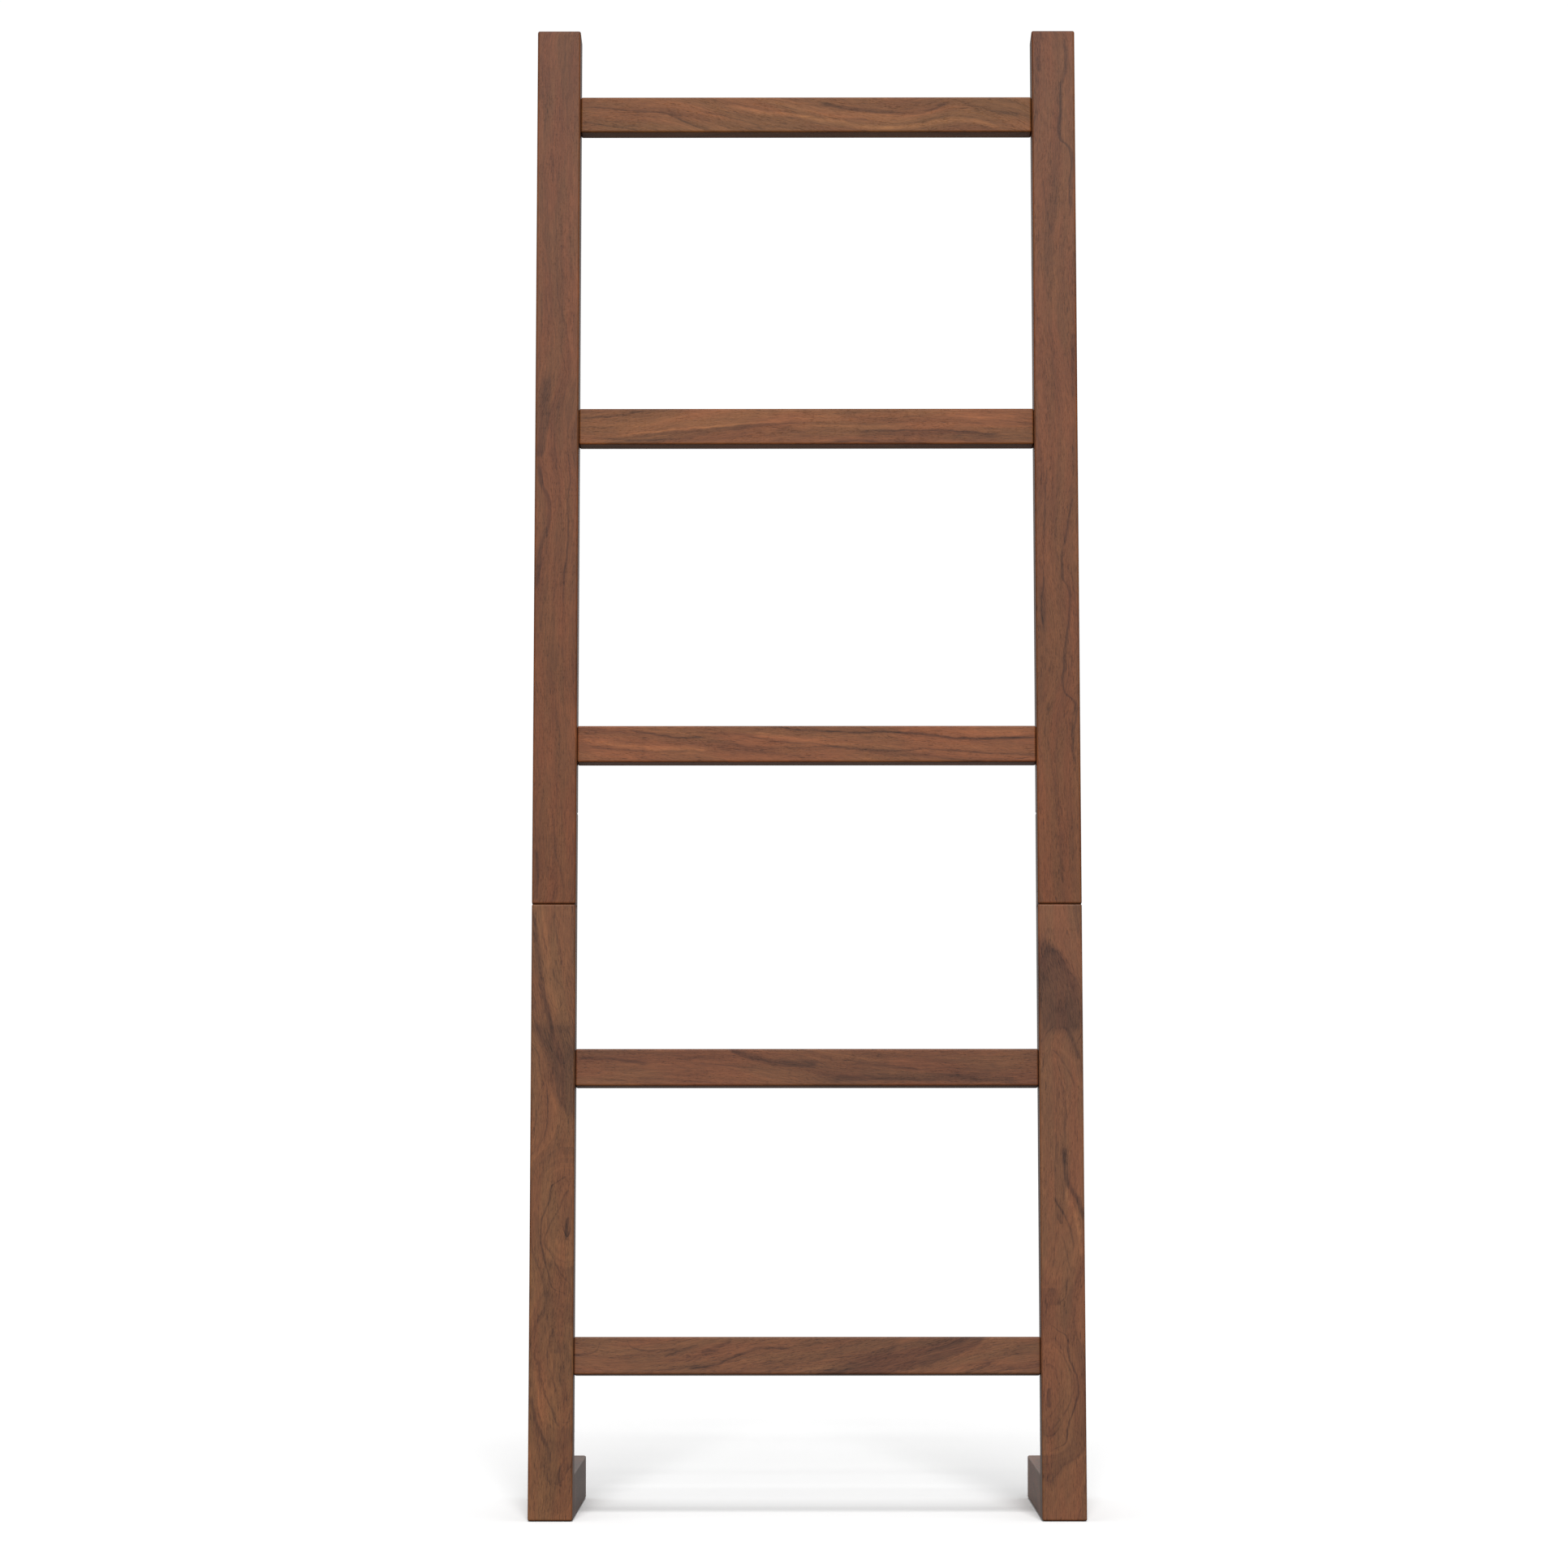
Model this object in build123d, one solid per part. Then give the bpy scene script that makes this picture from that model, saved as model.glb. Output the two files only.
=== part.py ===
from build123d import *
import math
import os

# A library ladder in solid walnut. Two square stiles lean back over a pair of feet, which run
# backward along the floor and let the ladder stand by itself. Five flat rungs sit between the
# stiles on dowels. Each stile comes apart into two lengths: they meet in a half-lap, which is
# drawn together by two bolts that enter from the back.
#
# Millimetres. +X is to the right of someone who faces the ladder, +Y is towards its back and +Z
# is up. The origin is on the floor, at the middle of the ladder's footprint.
#
# The pieces of the leaning frame are first built upright, in the stile's own frame: X across
# the ladder, Y from the stile's front face towards the back, and Z along the stile from its toe.

# Whole ladder
LADDER_HEIGHT = 1524.0      # from the stile's toe to its top front edge
LADDER_WIDTH = 555.5        # over the outer faces of the stiles
LADDER_REACH = 370.0        # from the stile's toe to the rear end of the foot
LEAN = 6.0                  # degrees that the stiles lean back
EASING = 2.0                # radius on the worked edges
ARRIS = 0.4                 # fine chamfer along the line of the half-lap

# Stiles and the half-lap that joins their two lengths
STILE = 44.5                # side of the square section
FRONT_SEAM = 619.0          # where the upper length's front half ends, along the stile
LAP_LENGTH = 99.0           # from the front seam to the back seam

# Rungs
RUNG_HEIGHT = 37.5
RUNG_DEPTH = 23.5
LOWEST_RUNG_TOP = 183.5     # along the stile
FIRST_STEP = 289.5          # from the lowest rung to the next
RUNG_PITCH = 330.5          # between the other rungs
RUNG_COUNT = 5

# Fluted dowels in the rung ends and between each stile and its foot
DOWEL_RADIUS = 4.0
DOWEL_LENGTH = 42.0
DOWEL_CHAMFER = 1.0
DOWEL_END_GAP = 1.0         # room for glue past each end of a dowel
FLUTE_COUNT = 8
FLUTE_RADIUS = 0.45
RUNG_DOWEL_SPACING = 18.0
FOOT_DOWEL_HEIGHTS = (21.0, 34.0)   # above the underside of the foot

# Lap bolts (M6, flat head) and the threaded inserts that they screw into
BOLT_RADIUS = 3.0
BOLT_LENGTH = 30.0
BOLT_CHAMFER = 0.75
BOLT_HEAD_RADIUS = 7.5
BOLT_HEAD_HEIGHT = 3.0
BOLT_HEAD_EASING = 1.5
BOLT_HOLE_RADIUS = 3.25
BOLT_SPACING = 46.0
COUNTERBORE_RADIUS = 8.5
COUNTERBORE_DEPTH = 3.6
HEX_KEY = 4.0               # across the flats of the socket in a bolt's head
HEX_DEPTH = 2.0
INSERT_RADIUS = 5.0
INSERT_ROOT_RADIUS = 4.4    # between the insert's outer threads
INSERT_LENGTH = 13.0
INSERT_THREADS = 4
INSERT_HOLE_DEPTH = 15.0

# Cam fitting that pulls each foot against its stile, turned from the underside of the foot
CAM_RADIUS = 7.5
CAM_HEIGHT = 12.5
CAM_SETBACK = 24.0          # from the joint to the axis of the cam
CAM_DRIVE_LENGTH = 10.5
CAM_DRIVE_WIDTH = 1.6
CAM_DRIVE_DEPTH = 2.0
CAM_BOLT_HEIGHT = 8.0       # above the underside of the foot
CAM_BOLT_RADIUS = 3.0
CAM_NECK_RADIUS = 2.0
CAM_NECK_LENGTH = 8.0
CAM_HEAD_RADIUS = 3.4
CAM_HEAD_LENGTH = 3.0
CAM_HEAD_EASING = 0.75
CAM_THREAD_LENGTH = 11.0    # in the stile
CAM_CLEARANCE = 0.4
JOINT_OVERRUN = 2.0         # bores across the sloping joint are cut this much past it

# Floor pads, let into the underside of the stiles and the feet
PAD_RADIUS = 13.0
PAD_THICKNESS = 2.5
PAD_PROUD = 0.5             # how far the wood is held off the floor
PAD_EDGE = 0.3
PAD_REAR_INSET = 32.0       # from the rear end of the foot to the middle of its pad

# Worked out from the dimensions above
TILT = math.radians(LEAN)
STILE_LENGTH = LADDER_HEIGHT / math.cos(TILT)
STILE_CENTRE = (LADDER_WIDTH - STILE) / 2
STILE_INNER = LADDER_WIDTH / 2 - STILE
LAP_PLANE = STILE / 2
BACK_SEAM = FRONT_SEAM + LAP_LENGTH
TOE_Y = -LADDER_REACH / 2
HEEL_Y = TOE_Y + STILE / math.cos(TILT)     # the rear edge of the stile's level end
REAR_Y = TOE_Y + LADDER_REACH
SIDES = {"left": -1, "right": 1}

ON_BASE = (Align.CENTER, Align.CENTER, Align.MIN)   # centred, and standing on its own base
TOLERANCE = 0.01


def lean_back(shape):
    """Put a piece built in the stile's own frame into its place in the ladder."""
    return Pos(0, TOE_Y, PAD_PROUD) * Rot(X=-LEAN) * shape


def prism(outline, width):
    """Extrude an outline of (Y, Z) points across X, centred on X = 0."""
    face = Plane.YZ * make_face(Polyline(*outline, close=True))
    return extrude(face, amount=width / 2, both=True)


def in_lap_plane(edge):
    """Say whether an edge of a stile lies in the plane where its two lengths meet."""
    return all(abs(vertex.Y - LAP_PLANE) < TOLERANCE for vertex in edge.vertices())


def on_stile_side(edge):
    """Say whether an edge of a stile lies in one of its two side faces."""
    return abs(abs(edge.center().X) - STILE / 2) < TOLERANCE


def eased_stile(outline, sign):
    """One length of stile from its side outline, eased, and moved to its side of the ladder."""
    piece = prism(outline, STILE)
    piece = fillet([edge for edge in piece.edges() if not in_lap_plane(edge)], EASING)
    lap_line = [edge for edge in piece.edges() if in_lap_plane(edge) and on_stile_side(edge)]
    piece = chamfer(lap_line, ARRIS)
    return Pos(sign * STILE_CENTRE, 0, 0) * piece


def along_y(radius, start, end):
    """A round bar along Y, from one distance to another."""
    bar = Cylinder(radius, end - start, align=ON_BASE)
    return Pos(0, start, 0) * Rot(X=-90) * bar


# ---------------------------------------------------------------- dowels and where they go

def fluted_dowel():
    """A dowel along Z with chamfered ends and glue flutes along its side."""
    dowel = Cylinder(DOWEL_RADIUS, DOWEL_LENGTH)
    dowel = chamfer(dowel.edges().filter_by(GeomType.CIRCLE), DOWEL_CHAMFER)
    flute = Cylinder(FLUTE_RADIUS, DOWEL_LENGTH)
    return dowel - [place * flute for place in PolarLocations(DOWEL_RADIUS, FLUTE_COUNT)]


def dowel_bore():
    """The hole for a dowel, along Z: half of it is in each of the two pieces that meet."""
    return Cylinder(DOWEL_RADIUS, DOWEL_LENGTH + 2 * DOWEL_END_GAP)


def rung_tops():
    """The height of each rung's top edge along the stile, from the lowest rung up."""
    second = LOWEST_RUNG_TOP + FIRST_STEP
    return [LOWEST_RUNG_TOP] + [second + RUNG_PITCH * step for step in range(RUNG_COUNT - 1)]


def rung_dowel_places(rung_top, sign):
    """The middle of each of the two dowels at one end of a rung, in the stile's own frame."""
    middle = rung_top - RUNG_HEIGHT / 2
    return [Pos(sign * STILE_INNER, LAP_PLANE, middle + offset) * Rot(Y=90)
            for offset in (-RUNG_DOWEL_SPACING / 2, RUNG_DOWEL_SPACING / 2)]


def rung_bores(rung_top, sign):
    return [place * dowel_bore() for place in rung_dowel_places(rung_top, sign)]


def joint_y(height):
    """Where the rear face of the stile stands, at a height above the underside of the foot."""
    return HEEL_Y + height * math.tan(TILT)


def foot_dowel_places(sign):
    """The middle of each dowel between a stile and its foot, in the ladder's frame."""
    return [Pos(sign * STILE_CENTRE, joint_y(height), PAD_PROUD + height) * Rot(X=90)
            for height in FOOT_DOWEL_HEIGHTS]


def foot_bores(sign):
    return [place * dowel_bore() for place in foot_dowel_places(sign)]


# ---------------------------------------------------------------- stiles

def lap_bolt_heights():
    middle = (FRONT_SEAM + BACK_SEAM) / 2
    return [middle - BOLT_SPACING / 2, middle + BOLT_SPACING / 2]


def upper_stile(sign):
    """The upper length: the full section, with its front half carried down over the lap."""
    outline = [(0, FRONT_SEAM), (0, STILE_LENGTH), (STILE, STILE_LENGTH), (STILE, BACK_SEAM),
               (LAP_PLANE, BACK_SEAM), (LAP_PLANE, FRONT_SEAM)]
    piece = eased_stile(outline, sign)
    insert_hole = along_y(INSERT_RADIUS, LAP_PLANE - INSERT_HOLE_DEPTH, LAP_PLANE)
    for height in lap_bolt_heights():
        piece -= Pos(sign * STILE_CENTRE, 0, height) * insert_hole
    for rung_top in rung_tops():
        if rung_top > BACK_SEAM:
            piece -= rung_bores(rung_top, sign)
    return lean_back(piece)


def lower_stile(sign):
    """The lower length: cut level at the floor, with its rear half carried up behind the lap."""
    heel = STILE * math.tan(TILT)
    outline = [(0, 0), (0, FRONT_SEAM), (LAP_PLANE, FRONT_SEAM), (LAP_PLANE, BACK_SEAM),
               (STILE, BACK_SEAM), (STILE, heel)]
    piece = eased_stile(outline, sign)
    bolt_hole = along_y(BOLT_HOLE_RADIUS, LAP_PLANE, STILE)
    counterbore = along_y(COUNTERBORE_RADIUS, STILE - COUNTERBORE_DEPTH, STILE)
    for height in lap_bolt_heights():
        piece -= Pos(sign * STILE_CENTRE, 0, height) * bolt_hole
        piece -= Pos(sign * STILE_CENTRE, 0, height) * counterbore
    for rung_top in rung_tops():
        if rung_top < FRONT_SEAM:
            piece -= rung_bores(rung_top, sign)
    piece = lean_back(piece) - foot_bores(sign)
    piece -= cam_bolt_place(sign) * along_y(CAM_BOLT_RADIUS, -CAM_THREAD_LENGTH, JOINT_OVERRUN)
    return piece - pad_place(sign, front_pad_y()) * pad_recess()


# ---------------------------------------------------------------- rungs

def rung(rung_top):
    """A flat rung, eased all round, with two dowel bores in each end."""
    piece = Box(2 * STILE_INNER, RUNG_DEPTH, RUNG_HEIGHT)
    piece = fillet(piece.edges(), EASING)
    piece = Pos(0, LAP_PLANE, rung_top - RUNG_HEIGHT / 2) * piece
    for sign in SIDES.values():
        piece -= rung_bores(rung_top, sign)
    return lean_back(piece)


def rung_dowels(rung_top):
    """The four dowels that hold a rung, two at each end."""
    dowel = fluted_dowel()
    return Compound([lean_back(place * dowel) for sign in SIDES.values()
                     for place in rung_dowel_places(rung_top, sign)])


# ---------------------------------------------------------------- lap bolts and inserts

def lap_bolt():
    """A bolt along +Y: its shank starts at Y = 0 and its head at BOLT_LENGTH."""
    shank = Cylinder(BOLT_RADIUS, BOLT_LENGTH, align=ON_BASE)
    shank = chamfer(shank.edges().group_by(Axis.Z)[0], BOLT_CHAMFER)
    head = Cylinder(BOLT_HEAD_RADIUS, BOLT_HEAD_HEIGHT, align=ON_BASE)
    head = fillet(head.edges().group_by(Axis.Z)[-1], BOLT_HEAD_EASING)
    hexagon = RegularPolygon(HEX_KEY / 2, 6, major_radius=False)
    socket = extrude(hexagon, HEX_DEPTH)
    head -= Pos(0, 0, BOLT_HEAD_HEIGHT - HEX_DEPTH) * socket
    return Rot(X=-90) * (shank + Pos(0, 0, BOLT_LENGTH) * head)


def lap_bolts(sign):
    """The two bolts of one lap, with their heads in the counterbores of the lower length."""
    start = STILE - COUNTERBORE_DEPTH - BOLT_LENGTH
    return Compound([lean_back(Pos(sign * STILE_CENTRE, start, height) * lap_bolt())
                     for height in lap_bolt_heights()])


def lap_insert():
    """A threaded insert along Y: plain bore, coarse threads outside, face in the lap plane."""
    insert = along_y(INSERT_RADIUS, LAP_PLANE - INSERT_LENGTH, LAP_PLANE)
    pitch = INSERT_LENGTH / INSERT_THREADS
    for turn in range(INSERT_THREADS):
        start = LAP_PLANE - INSERT_LENGTH + turn * pitch
        groove = along_y(INSERT_RADIUS, start, start + pitch / 2)
        groove -= along_y(INSERT_ROOT_RADIUS, start, start + pitch / 2)
        insert -= groove
    return insert - along_y(BOLT_RADIUS, 0, LAP_PLANE)


def lap_inserts(sign):
    """The two inserts of one lap, screwed into the upper length's front half."""
    return Compound([lean_back(Pos(sign * STILE_CENTRE, 0, height) * lap_insert())
                     for height in lap_bolt_heights()])


# ---------------------------------------------------------------- feet and their fittings

def foot(sign):
    """A foot along the floor, its front end cut to the lean of the stile that it meets."""
    outline = [(HEEL_Y, 0), (REAR_Y, 0), (REAR_Y, STILE), (joint_y(STILE), STILE)]
    piece = prism(outline, STILE)
    piece = fillet(piece.edges(), EASING)
    piece = Pos(sign * STILE_CENTRE, 0, PAD_PROUD) * piece - foot_bores(sign)
    bolt_bore = along_y(CAM_BOLT_RADIUS + CAM_CLEARANCE, -JOINT_OVERRUN, CAM_SETBACK)
    piece -= cam_bolt_place(sign) * bolt_bore
    piece -= cam_place(sign) * Cylinder(CAM_RADIUS, CAM_HEIGHT, align=ON_BASE)
    return piece - pad_place(sign, rear_pad_y()) * pad_recess()


def foot_dowels(sign):
    """The two dowels between a stile and its foot."""
    dowel = fluted_dowel()
    return Compound([place * dowel for place in foot_dowel_places(sign)])


def cam_bolt_place(sign):
    """Where the cam bolt crosses the joint between the stile and the foot."""
    return Pos(sign * STILE_CENTRE, joint_y(CAM_BOLT_HEIGHT), PAD_PROUD + CAM_BOLT_HEIGHT)


def cam_place(sign):
    """The middle of the cam's lower face, level with the underside of the foot."""
    return Pos(sign * STILE_CENTRE, joint_y(CAM_BOLT_HEIGHT) + CAM_SETBACK, PAD_PROUD)


def cam_bolt(sign):
    """The bolt screwed into the stile: thread, shank, a thin neck and the head in the cam."""
    head_end = CAM_SETBACK + CAM_HEAD_LENGTH / 2
    neck_end = head_end - CAM_HEAD_LENGTH
    neck_start = neck_end - CAM_NECK_LENGTH
    bolt = along_y(CAM_BOLT_RADIUS, -CAM_THREAD_LENGTH, neck_start)
    bolt += along_y(CAM_NECK_RADIUS, neck_start, neck_end)
    head = along_y(CAM_HEAD_RADIUS, neck_end, head_end)
    bolt += fillet(head.edges().filter_by(GeomType.CIRCLE), CAM_HEAD_EASING)
    return cam_bolt_place(sign) * bolt


def cam_lock(sign):
    """The cam: a drum with a chamber for the bolt's head and a cross slot to turn it by."""
    drum = Cylinder(CAM_RADIUS, CAM_HEIGHT, align=ON_BASE)
    head_radius = CAM_HEAD_RADIUS + CAM_CLEARANCE
    neck_radius = CAM_NECK_RADIUS + CAM_CLEARANCE
    half_chamber = CAM_HEAD_LENGTH / 2 + CAM_CLEARANCE
    chamber = along_y(head_radius, -half_chamber, half_chamber)
    entry = Pos(sign * CAM_RADIUS, 0, 0) * Box(2 * CAM_RADIUS, 2 * half_chamber, 2 * head_radius)
    neck_slot = along_y(neck_radius, -CAM_RADIUS, 0)
    for cut in (chamber, entry, neck_slot):
        drum -= Pos(0, 0, CAM_BOLT_HEIGHT) * cut
    for turn in (0, 90):
        drum -= Rot(Z=turn) * Box(CAM_DRIVE_LENGTH, CAM_DRIVE_WIDTH, 2 * CAM_DRIVE_DEPTH)
    return cam_place(sign) * drum


# ---------------------------------------------------------------- floor pads

def front_pad_y():
    """The middle of the stile's level end."""
    return (TOE_Y + HEEL_Y) / 2


def rear_pad_y():
    return REAR_Y - PAD_REAR_INSET


def pad_place(sign, y):
    return Pos(sign * STILE_CENTRE, y, 0)


def pad_recess():
    """The shallow hole that a pad is stuck into, measured up from the floor."""
    return Cylinder(PAD_RADIUS, PAD_THICKNESS, align=ON_BASE)


def floor_pad(sign, y):
    """A rubber disc that stands a little proud of the wood, with its lower rim rounded."""
    disc = fillet(pad_recess().edges().group_by(Axis.Z)[0], PAD_EDGE)
    return pad_place(sign, y) * disc


# ---------------------------------------------------------------- the whole ladder

def ladder_pieces():
    """Every piece of the ladder, by name."""
    pieces = {}
    for number, rung_top in enumerate(rung_tops(), start=1):
        pieces[f"rung_{number}"] = rung(rung_top)
        pieces[f"rung_{number}_dowels"] = rung_dowels(rung_top)
    for side, sign in SIDES.items():
        pieces[f"upper_stile_{side}"] = upper_stile(sign)
        pieces[f"lower_stile_{side}"] = lower_stile(sign)
        pieces[f"lap_bolts_{side}"] = lap_bolts(sign)
        pieces[f"lap_inserts_{side}"] = lap_inserts(sign)
        pieces[f"foot_{side}"] = foot(sign)
        pieces[f"foot_dowels_{side}"] = foot_dowels(sign)
        pieces[f"cam_bolt_{side}"] = cam_bolt(sign)
        pieces[f"cam_lock_{side}"] = cam_lock(sign)
        pieces[f"front_pad_{side}"] = floor_pad(sign, front_pad_y())
        pieces[f"rear_pad_{side}"] = floor_pad(sign, rear_pad_y())
    return pieces


os.makedirs("parts", exist_ok=True)
for name, shape in ladder_pieces().items():
    export_step(shape, f"parts/{name}.step")
    print(name)
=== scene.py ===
import math

import bpy
from mathutils import Matrix, Vector


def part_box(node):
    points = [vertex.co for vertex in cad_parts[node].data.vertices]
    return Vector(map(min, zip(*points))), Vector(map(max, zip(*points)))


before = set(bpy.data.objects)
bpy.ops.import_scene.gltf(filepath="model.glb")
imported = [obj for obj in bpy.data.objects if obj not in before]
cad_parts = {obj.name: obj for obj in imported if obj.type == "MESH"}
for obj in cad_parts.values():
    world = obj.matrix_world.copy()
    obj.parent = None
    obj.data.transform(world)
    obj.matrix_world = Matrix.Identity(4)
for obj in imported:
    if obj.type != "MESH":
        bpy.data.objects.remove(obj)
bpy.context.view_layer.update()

# Metres, in the CAD model's frame: +X to the viewer's right, +Y towards the ladder's back, +Z up.
# Inside the wood materials, lengths are millimetres.

MILLIMETRES = 1000.0
LEAN = math.radians(6.0)
UP_THE_STILE = Vector((0, math.sin(LEAN), math.cos(LEAN)))
INTO_THE_STILE = Vector((0, math.cos(LEAN), -math.sin(LEAN)))
RIGHT = Vector((1, 0, 0))
BACKWARD = Vector((0, 1, 0))
DOWN = Vector((0, 0, -1))


# ---------------------------------------------------------------- building shader nodes

# The sockets that the Mix node uses for colours.
MIX_FACTOR, MIX_FIRST, MIX_SECOND = 0, 6, 7
MIX_RESULT = 2

# A Float Curve's results are divided by their span, and this keeps a level one from a span of 0.
LEAST_SPAN = 0.001


def linear(red, green, blue):
    """An 8-bit sRGB colour as the linear RGBA that shader sockets take, by the sRGB formula."""
    channels = [value / 255 for value in (red, green, blue)]
    curved = [c / 12.92 if c <= 0.04045 else ((c + 0.055) / 1.055) ** 2.4 for c in channels]
    return (*curved, 1.0)


class Graph:
    """Adds nodes to one node tree. An input is a number, a tuple, or another node's socket."""

    def __init__(self, tree):
        self.tree = tree

    def feed(self, socket, value):
        if isinstance(value, bpy.types.NodeSocket):
            self.tree.links.new(value, socket)
        else:
            socket.default_value = value

    def add(self, kind, inputs=None, **settings):
        node = self.tree.nodes.new(kind)
        for name, value in settings.items():
            setattr(node, name, value)
        for key, value in (inputs or {}).items():
            self.feed(node.inputs[key], value)
        return node

    def math(self, operation, *values, clamp=False):
        node = self.add("ShaderNodeMath", dict(enumerate(values)), operation=operation)
        node.use_clamp = clamp
        return node.outputs[0]

    def scale_add(self, value, factor, offset=0.0):
        return self.math("MULTIPLY_ADD", value, factor, offset)

    def centre(self, value, size=1.0):
        """A value from 0 to 1, as one from -size to +size."""
        return self.scale_add(value, 2 * size, -size)

    def vector(self, operation, *values):
        node = self.add("ShaderNodeVectorMath", dict(enumerate(values)), operation=operation)
        return node.outputs["Value" if operation in ("DOT_PRODUCT", "LENGTH") else "Vector"]

    def combine(self, x, y, z):
        return self.add("ShaderNodeCombineXYZ", {0: x, 1: y, 2: z}).outputs[0]

    def remap(self, value, low, high, to_low=0.0, to_high=1.0, smooth=False):
        """Takes low to to_low and high to to_high, and stays level beyond them."""
        inputs = {"Value": value, "From Min": low, "From Max": high,
                  "To Min": to_low, "To Max": to_high}
        curve = "SMOOTHSTEP" if smooth else "LINEAR"
        return self.add("ShaderNodeMapRange", inputs, interpolation_type=curve).outputs[0]

    def noise(self, position, detail=2.0, roughness=0.5, output="Fac"):
        inputs = {"Vector": position, "Scale": 1.0, "Detail": detail, "Roughness": roughness}
        return self.add("ShaderNodeTexNoise", inputs).outputs[output]

    def noise_line(self, position, detail=2.0):
        """Noise along one number."""
        inputs = {"W": position, "Scale": 1.0, "Detail": detail}
        return self.add("ShaderNodeTexNoise", inputs, noise_dimensions="1D").outputs["Fac"]

    def curve(self, value, points):
        """A smooth curve through given (value, result) points."""
        places = [place for place, _ in points]
        results = [result for _, result in points]
        start, length = places[0], places[-1] - places[0]
        low, span = min(results), max(max(results) - min(results), LEAST_SPAN)
        fraction = self.remap(value, start, start + length)
        node = self.add("ShaderNodeFloatCurve", {"Value": fraction})
        line = node.mapping.curves[0]
        shape = [((place - start) / length, (result - low) / span) for place, result in points]
        line.points[0].location = shape[0]
        line.points[1].location = shape[-1]
        for place, result in shape[1:-1]:
            line.points.new(place, result)
        node.mapping.update()
        return self.scale_add(node.outputs[0], span, low)

    def ramp(self, factor, stops):
        """A colour ramp through (factor, colour) stops, of which there are two or more."""
        node = self.add("ShaderNodeValToRGB", {"Fac": factor})
        elements = node.color_ramp.elements
        while len(elements) < len(stops):
            elements.new(1.0)
        for element, (position, colour) in zip(elements, stops):
            element.position = position
            element.color = colour
        return node.outputs["Color"]

    def mix(self, factor, first, second, blend="MIX"):
        """From the first colour to the second, or to a blend of both, as factor goes to 1."""
        inputs = {MIX_FACTOR: factor, MIX_FIRST: first, MIX_SECOND: second}
        node = self.add("ShaderNodeMix", inputs, data_type="RGBA", blend_type=blend)
        return node.outputs[MIX_RESULT]

    def bump(self, shader, height, strength, distance):
        """Gives a shader relief: height 1 stands distance metres out, at full strength."""
        inputs = {"Height": height, "Strength": strength, "Distance": distance}
        node = self.add("ShaderNodeBump", inputs)
        self.feed(shader.inputs["Normal"], node.outputs["Normal"])


def new_material(name):
    """A new node material, its graph and its Principled shader."""
    material = bpy.data.materials.new(name)
    material.use_nodes = True
    graph = Graph(material.node_tree)
    return material, graph, material.node_tree.nodes["Principled BSDF"]


def dress(node, material):
    """Puts one material in every slot of a CAD node."""
    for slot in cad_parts[node].material_slots:
        slot.material = material


# ---------------------------------------------------------------- walnut

# The wood's tone runs from 0, darkest, to 1, lightest, and is PLAIN_TONE where nothing changes it.
PLAIN_TONE = 0.5
WALNUT_TONES = [
    (0.00, linear(58, 38, 31)),
    (0.25, linear(92, 60, 46)),
    (0.50, linear(121, 81, 59)),
    (0.75, linear(146, 98, 70)),
    (1.00, linear(174, 121, 83)),
]

# What the wood's colour is multiplied by: in its olive and its reddish patches, where it is dark,
# along its rubbed edges and on its end grain. The end-grain darkening also lies on the rounded
# ends at seams, joints and the floor, where it is painted shade.
OLIVE = (0.98, 1.01, 0.97, 1.0)
REDDISH = (1.07, 0.97, 0.93, 1.0)
GREYISH = (0.95, 1.0, 1.12, 1.0)
RUBBED = (1.08, 1.04, 1.0, 1.0)
# Darker end grain, and painted shade on the rounded ends at seams, joints and the floor.
END_GRAIN_AND_SEAM_SHADE = (0.60, 0.56, 0.53, 1.0)
GREY_BELOW_TONE = 0.48
GREYEST_TONE = 0.25
GREYEST = 0.5

# The cosine between a surface's normal and the nearest of the board's directions, on the flat and
# on a rounded edge, and between the normal and the grain, where end grain begins and is complete.
# That span takes in the rounded ends, which are darkened as painted shade at seams and joints.
ON_THE_FLAT, ON_THE_EDGE = 0.995, 0.86
END_AND_SEAM_SHADE_BEGINS, END_AND_SEAM_SHADE_COMPLETE = 0.3, 0.7

# How far the heart line strays from its points, in mm, in slow bends and in quick ones.
SLOW_SWAY = 8.0
QUICK_SWAY = 1.8

# Rings: their mean width in mm, how many rings early or late one comes, how quickly that changes
# from one mm to the next, how much lighter a ring starts than the wood and how much darker it
# ends, and how sharp and how dark the line at its end is. RING_STEP gives neighbouring rings
# unrelated strengths, and the last two are the noise values of an absent and of a full ring.
RING_WIDTH = 6.0
RING_DRIFT = 1.6
RING_DRIFT_RATE = 0.06
RING_SHADE = 0.11
RING_LINE_POWER = 9.0
RING_LINE_TONE = 0.55
RING_STEP = 7.31
RING_ABSENT, RING_FULL = 0.38, 0.68

# What the small features add to the tone, how strong the short pores are beside the long ones,
# and how strong all of them are where they are fewest.
FIBRE_TONE = 0.32
CLOUD_TONE = 0.14
PORE_TONE = -0.24
SHORT_PORES = 0.7
FEWEST_PORES = 0.35

# The clouds at which a rounded edge isn't rubbed at all, and at which it is rubbed fully.
UNRUBBED_CLOUD, RUBBED_CLOUD = -0.3, 0.4

# The finish: rougher on end grain, smoother on light wood and rubbed edges.
DARK_ROUGHNESS = 0.56
LIGHT_WOOD_ROUGHNESS = -0.14
EDGE_ROUGHNESS = -0.05
END_ROUGHNESS = 0.14
COAT_ROUGHNESS = 0.35
PORE_HEIGHT = -0.8
FIBRE_HEIGHT = 0.25
WOOD_RELIEF = 0.0002
WOOD_RELIEF_STRENGTH = 0.5

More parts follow.
